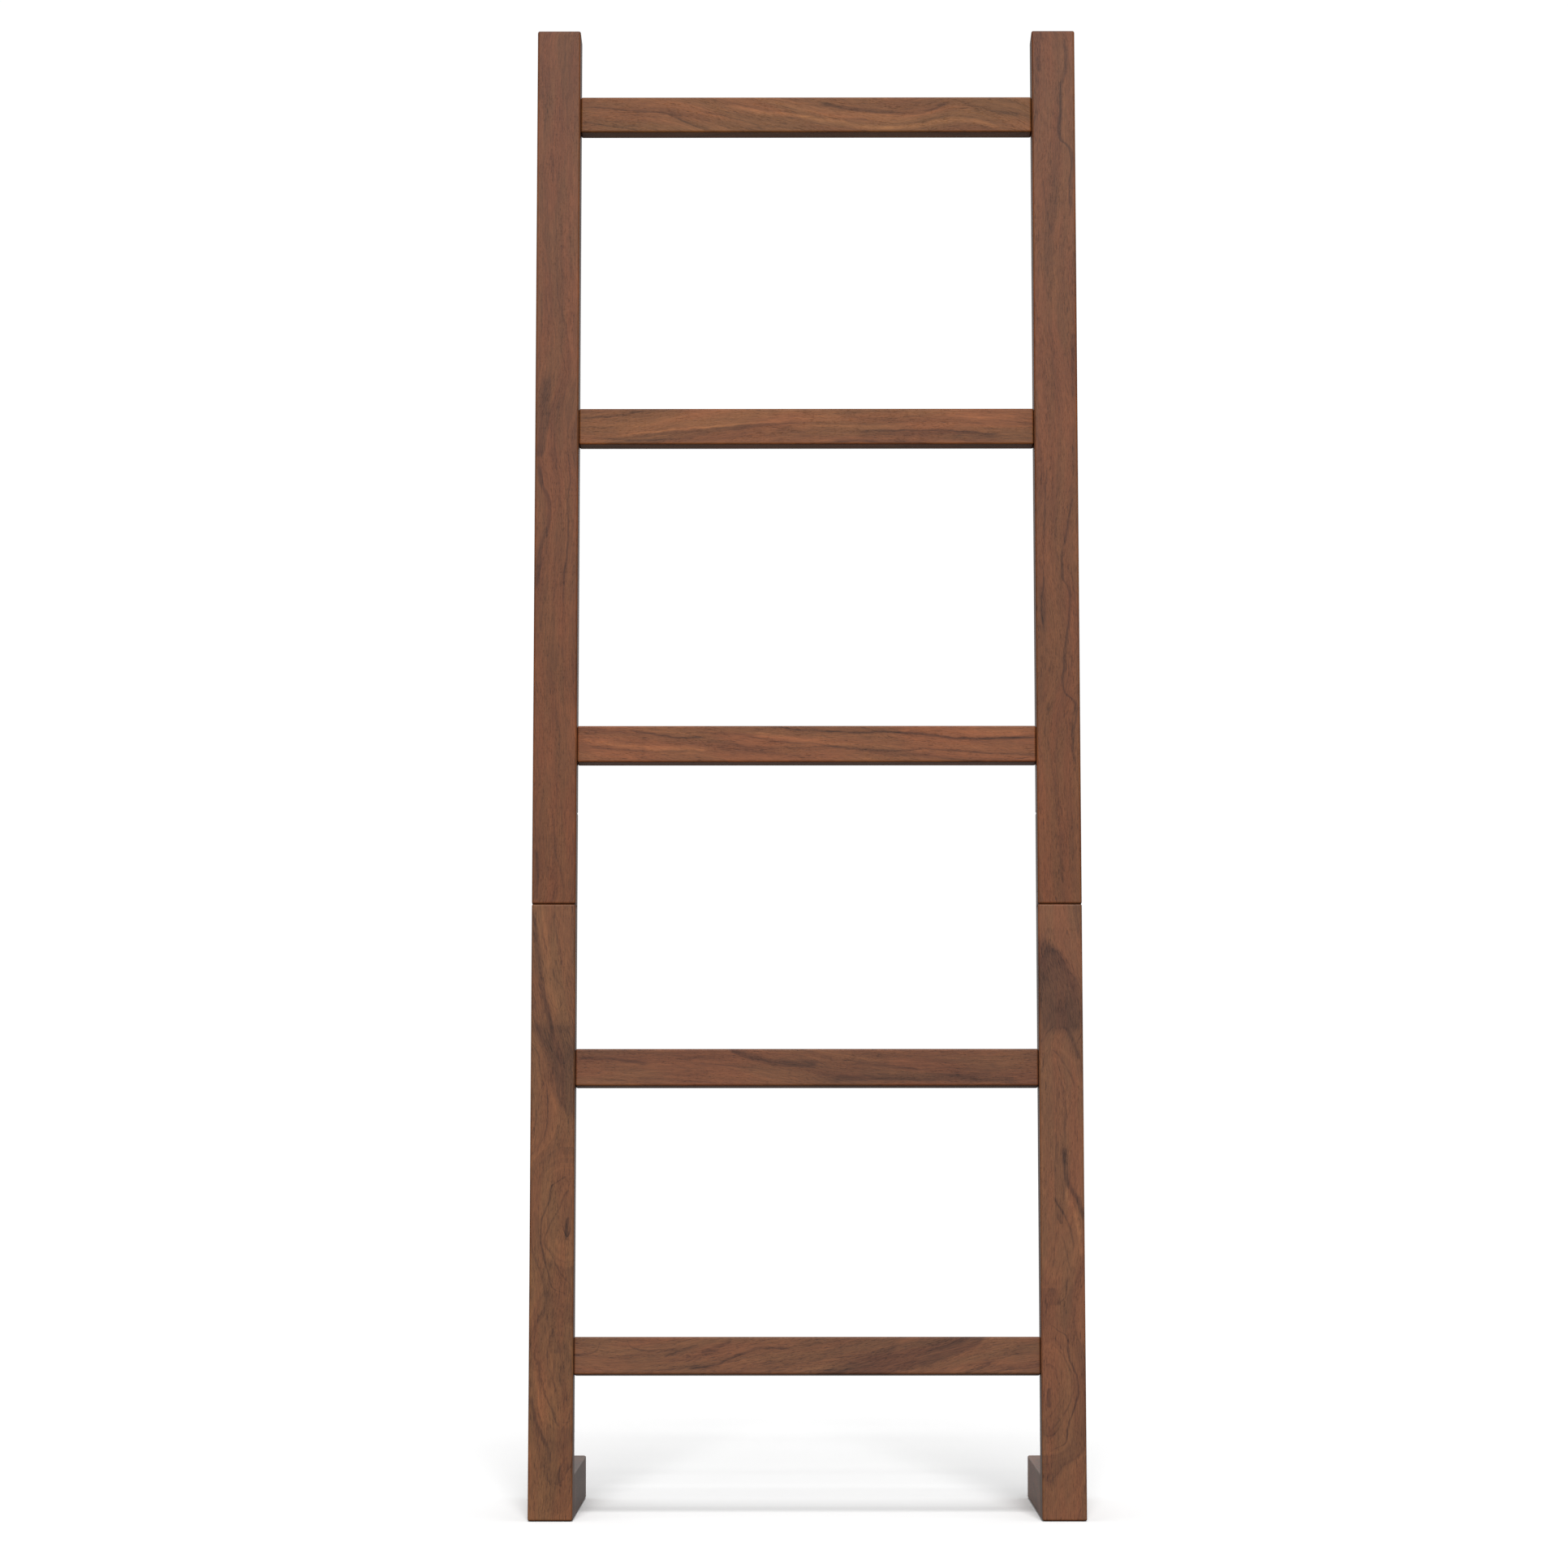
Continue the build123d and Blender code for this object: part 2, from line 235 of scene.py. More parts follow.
# Marks: how far their lines wobble in mm; the share of their reach over which they stay solid;
# the half-width of their sharp side, as a share of their reach and in mm more; and the part of
# their length, from the middle, that is at full strength. Narrow ones are patchy.
MARK_WOBBLE = 1.6
MARK_SOLID = 0.3
MARK_SIDE_SHARE = 0.06
MARK_SIDE = 0.7
MARK_FULL_LENGTH = 0.8
BROAD_MARK = 10.0
FAINTEST_PATCH, STRONGEST_PATCH = 0.75, 1.3


class Noise:
    """
    Noise that is stretched along a board's grain.

    across, along: the size of its features in mm.
    shift: keeps it apart from the board's other noises.
    detail, roughness: the same as the Noise Texture node's.
    absent, full: its values where what it draws is absent, and where it is at full strength.
    """

    # How the seed moves the noise in depth and in length, for each 1 that it moves it sideways.
    DEPTH_SHIFT = 0.37
    LENGTH_SHIFT = 1.71

    def __init__(self, across, along, shift=0.0, detail=2.0, roughness=0.5, absent=0.0, full=1.0):
        self.across = across
        self.along = along
        self.shift = shift
        self.detail = detail
        self.roughness = roughness
        self.absent = absent
        self.full = full

    def draw(self, graph, seed, side, depth, length, output="Fac"):
        """Its value at a place in mm, or three unrelated ones if the output is "Color"."""
        start = seed + self.shift
        position = graph.combine(
            graph.scale_add(side, 1 / self.across, start),
            graph.scale_add(depth, 1 / self.across, start * self.DEPTH_SHIFT),
            graph.scale_add(length, 1 / self.along, start * self.LENGTH_SHIFT))
        return graph.noise(position, self.detail, self.roughness, output)

    def patches(self, graph, seed, side, depth, length, low=0.0, high=1.0, smooth=False):
        """From low, where what it draws is absent, to high, where that is at full strength."""
        value = self.draw(graph, seed, side, depth, length)
        return graph.remap(value, self.absent, self.full, low, high, smooth)


SLOW_BENDS = Noise(30.0, 110.0, detail=1.0)
QUICK_BENDS = Noise(7.0, 30.0, shift=2.0, detail=3.0, roughness=0.6)
RING_LINES = Noise(5.0, 45.0, shift=4.0, absent=0.40, full=0.62)
FIBRES = Noise(0.9, 12.0, shift=6.0, detail=3.0, roughness=0.65)
CLOUDS = Noise(26.0, 90.0, shift=8.0, detail=3.0)
LONG_PORES = Noise(0.95, 8.0, shift=10.0, detail=1.0, absent=0.60, full=0.72)
SMALL_PORES = Noise(0.42, 3.2, shift=12.0, detail=0.0, absent=0.62, full=0.74)
PORE_CROWDS = Noise(10.0, 40.0, shift=14.0, absent=0.35, full=0.60)
WARMTH = Noise(14.0, 90.0, shift=16.0, detail=1.0, absent=0.38, full=0.62)
STREAKS = Noise(4.0, 110.0, detail=3.0, roughness=0.55)
MARK_WOBBLES = Noise(5.0, 12.0)
MARK_PATCHES = Noise(2.2, 26.0, shift=5.0, absent=0.35, full=0.65)


class Board:
    """
    One board of walnut, cut from a tree.

    heart: (fraction of the board's length, mm across, mm in front of its front face) points of
    the line that the growth rings are centred on. Close to the face it makes arches and ovals,
    and far from it long streaks that follow its bends.
    bands: (mm from the heart, tone from 0 to 1) points of the broad light and dark rings.
    seed: keeps its noises apart from every other board's.
    marks: the board's own figure, a Mark each.
    figure, lines, streaks: how strong the bands, the ring lines and the long streaks are.
    wander: how far the heart line strays from its points, 1 being SLOW_SWAY.
    tint: what its colour is multiplied by, as no two boards are quite alike. On the feet it also
    paints light: lighter on the right foot and darker on the left.
    ior: how strongly the oiled wood reflects.
    coat, coat_ior: how much clear finish lies on it, and how strongly that reflects.
    """

    def __init__(self, heart, bands, seed, marks=(), figure=0.5, lines=0.3, streaks=0.2,
                 wander=1.0, tint=(1.0, 1.0, 1.0), ior=1.28, coat=0.0, coat_ior=1.5):
        self.heart = heart
        self.bands = bands
        self.seed = seed
        self.marks = marks
        self.figure = figure
        self.lines = lines
        self.streaks = streaks
        self.wander = wander
        self.tint = tint
        self.ior = ior
        self.coat = coat
        self.coat_ior = coat_ior


class Mark:
    """
    A line along a board's face that is darker or lighter than the wood, sharp on one side.

    tone: what it adds to the wood's tone at that side.
    reach: how many mm it takes to fade away from there, towards positive mm across the board or,
    if it is negative, the other way.
    points: (fraction of the board's length, mm across) along its sharp side.
    """

    def __init__(self, tone, reach, *points):
        self.tone = tone
        self.reach = reach
        self.points = points


class Place:
    """
    Where a shaded point is in its board, as sockets.

    side, depth, length: mm across the board from its middle, in from its front face, and along
    its grain from its middle.
    fraction: how far along the board it is, from 0 to 1.
    edge, end: 1 on a rounded edge and on an end, and 0 on the flat faces. end also takes in an
    end's rounded edges, where its darkening is painted shade at seams and joints.
    """

    def __init__(self, graph, node, along, across, inward, thickness):
        low, high = (Vector(corner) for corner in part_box(node))
        position = graph.add("ShaderNodeTexCoord").outputs["Object"]
        position = graph.vector("SUBTRACT", position, tuple((low + high) / 2))
        normal = graph.add("ShaderNodeNewGeometry").outputs["Normal"]
        board_length = max(high - low) * MILLIMETRES

        def component(vector, direction, scale=1.0):
            return graph.vector("DOT_PRODUCT", vector, tuple(direction * scale))

        self.side = component(position, across, MILLIMETRES)
        self.depth = graph.math("ADD", component(position, inward, MILLIMETRES), thickness / 2)
        self.length = component(position, along, MILLIMETRES)
        self.fraction = graph.scale_add(self.length, 1 / board_length, 0.5)
        facing = [graph.math("ABSOLUTE", component(normal, direction))
                  for direction in (along, across, inward)]
        flat = graph.math("MAXIMUM", facing[0], graph.math("MAXIMUM", facing[1], facing[2]))
        self.edge = graph.remap(flat, ON_THE_FLAT, ON_THE_EDGE, smooth=True)
        # Also 1 on an end's rounded edges, so they carry painted shade at seams and joints.
        self.end = graph.remap(facing[0], END_AND_SEAM_SHADE_BEGINS, END_AND_SEAM_SHADE_COMPLETE, smooth=True)


class Grain:
    """
    How the grain of one board runs past a shaded point, as sockets.

    side: mm to the side of the heart line.
    distance: mm from the heart of the tree.
    """

    def __init__(self, graph, place, board):
        self.graph = graph
        self.seed = board.seed
        heart_side = graph.curve(place.fraction, [(at, side) for at, side, _ in board.heart])
        heart_depth = graph.curve(place.fraction, [(at, depth) for at, _, depth in board.heart])
        self.side = graph.math("SUBTRACT", place.side, heart_side)
        self.here = (graph, board.seed, self.side, place.depth, place.length)
        position = graph.combine(self.side, graph.math("ADD", place.depth, heart_depth), 0.0)
        for bends, size in ((SLOW_BENDS, SLOW_SWAY * board.wander), (QUICK_BENDS, QUICK_SWAY)):
            sway = graph.vector("MULTIPLY_ADD", self.noise(bends, output="Color"),
                                (2 * size, 2 * size, 0.0), (-size, -size, 0.0))
            position = graph.vector("ADD", position, sway)
        self.distance = graph.vector("LENGTH", position)

    def noise(self, kind, output="Fac"):
        """One of the wood's noises. Its place is measured from the heart line, so it bends too."""
        return kind.draw(*self.here, output)

    def centred(self, kind):
        return self.graph.centre(self.noise(kind))

    def patches(self, kind, **limits):
        return kind.patches(*self.here, **limits)


def draw_rings(graph, grain):
    """Rings that darken slowly outward and end in a thin dark line, which has breaks in it."""
    drift = graph.noise_line(graph.scale_add(grain.distance, RING_DRIFT_RATE, grain.seed))
    count = graph.math("ADD", graph.math("DIVIDE", grain.distance, RING_WIDTH),
                       graph.centre(drift, RING_DRIFT))
    through = graph.math("FRACT", count)
    number = graph.scale_add(graph.math("FLOOR", count), RING_STEP, grain.seed)
    strength = graph.remap(graph.noise_line(number, detail=0.0), RING_ABSENT, RING_FULL)
    line = graph.math("MULTIPLY", graph.math("POWER", through, RING_LINE_POWER),
                      grain.patches(RING_LINES))
    shade = graph.scale_add(through, -2 * RING_SHADE, RING_SHADE)
    ring = graph.math("SUBTRACT", shade, graph.scale_add(line, RING_LINE_TONE))
    return graph.math("MULTIPLY", ring, strength)


def draw_pores(graph, grain):
    """Long and short pores, from 0 to 1, which crowd together in some places."""
    long_pores = grain.patches(LONG_PORES, smooth=True)
    short_pores = graph.scale_add(grain.patches(SMALL_PORES, smooth=True), SHORT_PORES)
    pores = graph.math("MAXIMUM", long_pores, short_pores)
    return graph.math("MULTIPLY", pores, grain.patches(PORE_CROWDS, low=FEWEST_PORES))


def draw_marks(graph, place, board):
    """The sum of what the board's marks add to the wood's tone."""
    here = (graph, board.seed, place.side, place.depth, place.length)
    wobble = graph.centre(MARK_WOBBLES.draw(*here), MARK_WOBBLE)
    side = graph.math("ADD", place.side, wobble)
    patchy = MARK_PATCHES.patches(*here, FAINTEST_PATCH, STRONGEST_PATCH)
    total = 0.0
    for mark in board.marks:
        places = [at for at, _ in mark.points]
        middle = (places[0] + places[-1]) / 2
        half = (places[-1] - places[0]) / 2
        away = graph.math("SUBTRACT", side, graph.curve(place.fraction, mark.points))
        fading = graph.remap(away, mark.reach, mark.reach * MARK_SOLID, smooth=True)
        sharp = mark.reach * MARK_SIDE_SHARE + math.copysign(MARK_SIDE, mark.reach)
        fading = graph.math("MULTIPLY", fading, graph.remap(away, -sharp, sharp, smooth=True))
        off_middle = graph.math("ABSOLUTE", graph.math("SUBTRACT", place.fraction, middle))
        fading = graph.math("MULTIPLY", fading, graph.remap(
            off_middle, half, half * MARK_FULL_LENGTH, smooth=True))
        if abs(mark.reach) < BROAD_MARK:
            fading = graph.math("MULTIPLY", fading, patchy)
        total = graph.scale_add(fading, mark.tone, total)
    return total


def walnut(node, board, along, across, inward, thickness):
    """Gives a CAD node its own board of walnut. The three directions are the board's own."""
    material, graph, shader = new_material(f"walnut_{node}")
    place = Place(graph, node, along, across, inward, thickness)
    grain = Grain(graph, place, board)

    bands = graph.centre(graph.curve(grain.distance, board.bands), board.figure / 2)
    rings = draw_rings(graph, grain)
    streaks = graph.centre(STREAKS.draw(graph, board.seed, grain.distance, 0.0, place.length))
    fibres = grain.centred(FIBRES)
    clouds = grain.centred(CLOUDS)
    pores = draw_pores(graph, grain)
    tone = draw_marks(graph, place, board)
    for layer, strength in ((rings, board.lines), (bands, 1.0), (streaks, board.streaks),
                            (fibres, FIBRE_TONE), (clouds, CLOUD_TONE), (pores, PORE_TONE)):
        tone = graph.scale_add(layer, strength, tone)
    tone = graph.math("ADD", tone, PLAIN_TONE, clamp=True)

    hue = graph.mix(grain.patches(WARMTH), OLIVE, REDDISH)
    greyness = graph.remap(tone, GREY_BELOW_TONE, GREYEST_TONE, 0.0, GREYEST)
    rubbing = graph.math("MULTIPLY", place.edge,
                         graph.remap(clouds, UNRUBBED_CLOUD, RUBBED_CLOUD))
    colour = graph.ramp(tone, WALNUT_TONES)
    # The end-grain multiply is also painted shade on the rounded ends at seams and joints.
    for factor, tint in ((1.0, hue), (greyness, GREYISH), (1.0, (*board.tint, 1.0)),
                         (rubbing, RUBBED), (place.end, END_GRAIN_AND_SEAM_SHADE)):
        colour = graph.mix(factor, colour, tint, blend="MULTIPLY")

    roughness = graph.scale_add(tone, LIGHT_WOOD_ROUGHNESS, DARK_ROUGHNESS)
    roughness = graph.scale_add(place.edge, EDGE_ROUGHNESS, roughness)
    roughness = graph.scale_add(place.end, END_ROUGHNESS, roughness)
    height = graph.scale_add(pores, PORE_HEIGHT, graph.scale_add(fibres, FIBRE_HEIGHT))
    graph.feed(shader.inputs["Base Color"], colour)
    graph.feed(shader.inputs["Roughness"], roughness)
    graph.bump(shader, height, WOOD_RELIEF_STRENGTH, WOOD_RELIEF)
    shader.inputs["IOR"].default_value = board.ior
    shader.inputs["Coat Weight"].default_value = board.coat
    shader.inputs["Coat Roughness"].default_value = COAT_ROUGHNESS
    shader.inputs["Coat IOR"].default_value = board.coat_ior
    dress(node, material)


# The boards, with marks where the photo's have them. Left and right are the viewer's.

STRAIGHT_GRAIN = {"lines": 0.18, "streaks": 0.12}
CATHEDRAL_GRAIN = {"figure": 0.35, "lines": 0.7, "streaks": 0.15, "wander": 0.5}
CATHEDRAL_BANDS = [(0, 0.30), (5, 0.46), (12, 0.50), (22, 0.60), (26, 0.36), (36, 0.30),
                   (42, 0.52), (60, 0.48)]
STILE_FINISH = {"ior": 1.2, "coat": 0.8, "coat_ior": 1.15}
FOOT_FINISH = {"coat": 0.6}

STILES = {
    "upper_stile_left": Board(
        heart=[(0.0, 84, 40), (0.12, 88, 40), (0.3, 82, 42), (0.45, 90, 40), (0.53, 84, 38),
               (0.62, 92, 42), (0.8, 88, 40), (1.0, 94, 40)],
        bands=[(65, 0.50), (76, 0.40), (80, 0.54), (92, 0.50), (97, 0.40), (101, 0.56),
               (108, 0.48), (118, 0.52), (125, 0.38), (140, 0.50)],
        marks=[
            Mark(-0.15, -6, (0.0, -16), (0.03, -15), (0.06, -17)),
            Mark(-0.10, 2.5, (0.0, 10), (0.03, 7), (0.06, 0), (0.10, -2)),
            Mark(-0.20, 2, (0.33, 7), (0.36, 7), (0.38, 9), (0.40, 11), (0.42, 12), (0.45, 11),
                 (0.48, 13), (0.50, 12), (0.52, 9)),
            Mark(-0.20, -6, (0.35, -17), (0.38, -15), (0.40, -13), (0.42, -8), (0.44, -5),
                 (0.455, -6), (0.465, -10), (0.48, -14), (0.50, -16)),
            Mark(-0.20, -14, (0.50, -16), (0.52, -11), (0.54, -9), (0.57, -7), (0.59, -6),
                 (0.598, -8), (0.60, -18)),
            Mark(-0.12, 2.5, (0.63, 10), (0.65, 9), (0.67, 4), (0.69, 0), (0.71, -1)),
            Mark(-0.10, 2, (0.60, -19), (0.64, -18), (0.66, -17), (0.70, -18)),
            Mark(-0.10, 2.5, (0.82, -6), (0.86, -7), (0.89, -6)),
            Mark(-0.10, 2.5, (0.95, 5), (1.0, 6)),
        ],
        seed=3.1, tint=(0.68, 0.55, 0.4), **STRAIGHT_GRAIN, **STILE_FINISH),
    "upper_stile_right": Board(
        heart=[(0.0, -86, 40), (0.18, -90, 42), (0.27, -80, 40), (0.42, -90, 38),
               (0.5, -84, 40), (0.7, -92, 42), (0.88, -84, 40), (1.0, -90, 40)],
        bands=[(65, 0.52), (76, 0.40), (82, 0.54), (92, 0.50), (98, 0.42), (102, 0.55),
               (108, 0.46), (118, 0.52), (125, 0.38), (140, 0.50)],
        marks=[
            Mark(-0.10, 2.5, (0.10, 0), (0.13, -4), (0.16, -9), (0.19, -12)),
            Mark(-0.22, 4, (0.13, 20), (0.15, 17), (0.165, 14), (0.185, 13), (0.20, 15),
                 (0.215, 17), (0.225, 15), (0.232, 8), (0.24, 4), (0.25, 3), (0.26, 5),
                 (0.28, 6), (0.30, 8), (0.32, 11), (0.345, 11), (0.36, 7), (0.37, 4),
                 (0.39, 4), (0.405, 6), (0.42, 9), (0.44, 12), (0.46, 14), (0.48, 15)),
            Mark(-0.20, 2, (0.30, -13), (0.31, -15), (0.33, -17), (0.36, -15), (0.40, -14),
                 (0.44, -13), (0.48, -11), (0.50, -10)),
            Mark(-0.12, 7, (0.30, -14), (0.33, -17), (0.37, -15)),
            Mark(-0.15, 6, (0.57, 17), (0.60, 16), (0.64, 16), (0.65, 18)),
            Mark(-0.10, 2.5, (0.76, -3), (0.80, -10), (0.83, -12)),
            Mark(-0.22, 5, (0.78, 16), (0.82, 15), (0.85, 17), (0.865, 13), (0.872, 6),
                 (0.88, 4), (0.91, 6), (0.93, 6), (0.95, 10), (0.97, 12), (0.985, 10), (1.0, 9)),
            Mark(-0.15, 7, (0.95, -16), (0.97, -17), (1.0, -15)),
        ],
        seed=12.7, tint=(0.7, 0.57, 0.41), **STRAIGHT_GRAIN, **STILE_FINISH),
    "lower_stile_left": Board(
        heart=[(0.0, 8, 42), (0.12, 12, 25), (0.2, 12, 9), (0.27, 12, 22), (0.31, 14, 30),
               (0.42, 15, 2), (0.5, 16, 27), (0.57, 20, 41), (0.69, 9, 24), (0.8, -2, 13),
               (1.0, -8, 4)],
        bands=CATHEDRAL_BANDS,
        marks=[
            Mark(-0.20, -6, (0.07, 1), (0.09, 0), (0.105, -4), (0.12, -9), (0.14, -14),
                 (0.17, -18)),
            Mark(0.15, 4, (0.11, -4), (0.13, -8), (0.15, -12), (0.18, -15), (0.21, -18)),
            Mark(-0.16, 3, (0.04, 10), (0.06, 8), (0.075, 12), (0.085, 16)),
            Mark(-0.20, 3, (0.12, 10), (0.13, 5), (0.15, 0), (0.16, -4), (0.18, -9),
                 (0.20, -12), (0.22, -13)),
            Mark(-0.12, 2.5, (0.12, 10), (0.13, 15), (0.14, 18)),
            Mark(-0.10, 6, (0.14, 12), (0.16, 12), (0.20, 9), (0.22, 14)),
            Mark(-0.12, 2.5, (0.17, 4), (0.20, 0), (0.21, -4), (0.24, -4)),
            Mark(-0.10, 20, (0.225, 0), (0.24, -2), (0.26, -2), (0.27, 2), (0.275, 5)),
            Mark(-0.10, 2.5, (0.21, -16), (0.25, -17), (0.30, -18)),
            Mark(-0.25, 2.5, (0.303, 21), (0.312, 12), (0.32, 0), (0.34, -4), (0.36, -8),
                 (0.385, -11.5), (0.41, -11), (0.43, -7), (0.445, -3), (0.46, -2),
                 (0.468, 4), (0.475, 12), (0.482, 21)),
            Mark(-0.15, 2.5, (0.32, 21), (0.33, 14), (0.345, 6), (0.36, 1), (0.37, -3),
                 (0.385, -8), (0.40, -5), (0.415, 0), (0.43, 6), (0.45, 12), (0.46, 17)),
            Mark(-0.25, 5, (0.385, 14), (0.40, 13), (0.42, 16)),
            Mark(-0.17, 60, (0.55, 21), (0.565, 13), (0.58, 6), (0.59, 2), (0.60, -1),
                 (0.62, -5), (0.64, -9), (0.66, -13), (0.68, -17), (0.70, -21)),
            Mark(-0.20, -7, (0.66, 3), (0.685, 1), (0.70, -1), (0.715, -4), (0.74, -8),
                 (0.78, -12), (0.82, -16), (0.86, -19)),
            Mark(0.08, 14, (0.70, 2), (0.72, -2), (0.75, -7), (0.80, -12), (0.86, -18)),
            Mark(-0.12, 2.5, (0.73, 14), (0.745, 8), (0.76, 0), (0.80, -8), (0.86, -18)),
            Mark(0.12, 4, (0.77, -4), (0.80, -7), (0.84, -11), (0.87, -13)),
            Mark(-0.10, 2.5, (0.77, 9), (0.80, 5), (0.83, 1), (0.87, -1)),
        ],
        seed=21.4, tint=(0.73, 0.71, 0.59), **CATHEDRAL_GRAIN, **STILE_FINISH),
    "lower_stile_right": Board(
        heart=[(0.0, -14, 45), (0.07, -14, 34), (0.17, -14, 2), (0.28, -12, 30),
               (0.33, -8, 24), (0.42, -2, 10), (0.6, 0, 8), (0.66, -4, 19), (0.69, 0, 24),
               (0.82, -12, 41), (0.88, -12, 46), (1.0, -10, 50)],
        bands=CATHEDRAL_BANDS,
        marks=[
            Mark(-0.25, -2.5, (0.085, -20), (0.095, -8), (0.105, 3), (0.125, 5), (0.14, 8),
                 (0.155, 12), (0.17, 15), (0.19, 15), (0.205, 11), (0.22, 7), (0.25, 4),
                 (0.258, -3), (0.268, -12), (0.274, -20)),
            Mark(-0.12, -2.5, (0.115, -20), (0.118, -14), (0.13, -6), (0.15, 4), (0.165, 8),
                 (0.20, 8), (0.22, 2), (0.235, -6), (0.245, -14)),
            Mark(-0.25, 5, (0.15, -15), (0.165, -17), (0.18, -15)),
            Mark(-0.12, -2, (0.10, -20), (0.115, -9), (0.13, -2), (0.15, 4), (0.17, 10),
                 (0.19, 11), (0.21, 5), (0.23, 0), (0.245, -6), (0.255, -14)),
            Mark(-0.09, -2, (0.13, -20), (0.14, -13), (0.155, -6), (0.17, -1), (0.185, -4),
                 (0.20, -8), (0.215, -15)),
            Mark(-0.10, 2.5, (0.25, 12), (0.27, 10), (0.30, 8)),
            Mark(-0.12, -18, (0.293, 0), (0.298, -2), (0.303, -3), (0.31, -5), (0.32, -8)),
            Mark(-0.16, 2, (0.295, -4), (0.30, -2), (0.31, 2), (0.33, 4), (0.35, 4)),
            Mark(-0.12, 2.5, (0.34, 8), (0.35, 6), (0.37, 3), (0.385, 0), (0.395, -3)),
            Mark(-0.12, -2, (0.345, -11), (0.36, -8), (0.38, -7), (0.40, -5)),
            Mark(0.15, -6, (0.36, 20), (0.39, 20), (0.41, 17), (0.43, 13), (0.44, 9),
                 (0.46, 5)),
            Mark(-0.20, -3, (0.37, 12), (0.40, 9), (0.42, 3), (0.43, -1), (0.44, -5),
                 (0.45, -8)),
            Mark(-0.25, 8, (0.41, 20), (0.44, 14), (0.455, 8), (0.465, 4), (0.485, 1),
                 (0.50, 1), (0.52, 0)),
            Mark(-0.10, 2.5, (0.49, -5), (0.51, -6), (0.54, -7)),
            Mark(-0.16, 3, (0.60, 12), (0.62, 8), (0.64, 0), (0.65, -5), (0.657, -11)),
            Mark(-0.16, -2, (0.62, -20), (0.63, -18), (0.645, -16), (0.657, -12)),
            Mark(-0.16, 6, (0.64, 17), (0.66, 12), (0.68, 6), (0.69, -1)),
            Mark(-0.12, -2, (0.665, -20), (0.67, -18), (0.685, -10), (0.69, -5)),
            Mark(-0.17, -60, (0.675, 23), (0.70, 21), (0.72, 18), (0.75, 14), (0.77, 8), (0.79, 2),
                 (0.80, -4), (0.81, -10), (0.82, -15)),
            Mark(-0.12, 2, (0.79, -20), (0.81, -17), (0.83, -13)),
        ],
        seed=33.9, tint=(0.72, 0.68, 0.61), **CATHEDRAL_GRAIN, **STILE_FINISH),
}

